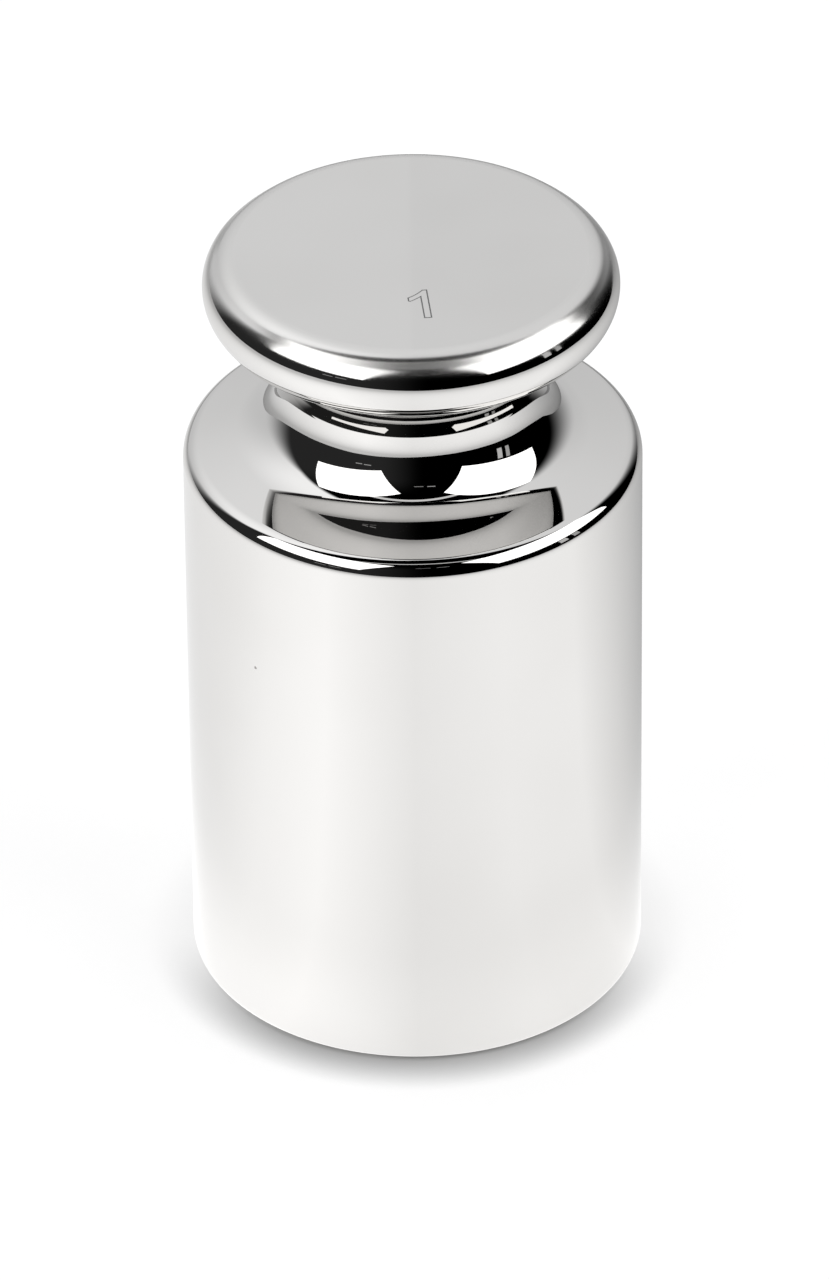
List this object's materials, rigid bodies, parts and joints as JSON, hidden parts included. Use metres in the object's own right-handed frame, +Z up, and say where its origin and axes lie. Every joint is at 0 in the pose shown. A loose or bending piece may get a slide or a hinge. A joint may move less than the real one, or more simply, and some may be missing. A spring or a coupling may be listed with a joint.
{
  "type": "calibration weight",
  "caption": "One-piece polished steel mass standard: a flat base stands on the balance pan, a waisted neck takes a lifting fork and a broad knob is for the fingers.",
  "frame": {"origin": "centre of the flat base, on the surface that the weight stands on", "axes": "+Z up along the turning axis; -Y is the side from which the figure on the knob reads upright"},
  "size_m": [0.048, 0.048, 0.0861],
  "materials": {
    "polished_steel": "stainless steel, mirror polished, with faint fine scratches"
  },
  "bodies": {
    "root": {"weight": "polished_steel"}
  },
  "joints": []
}
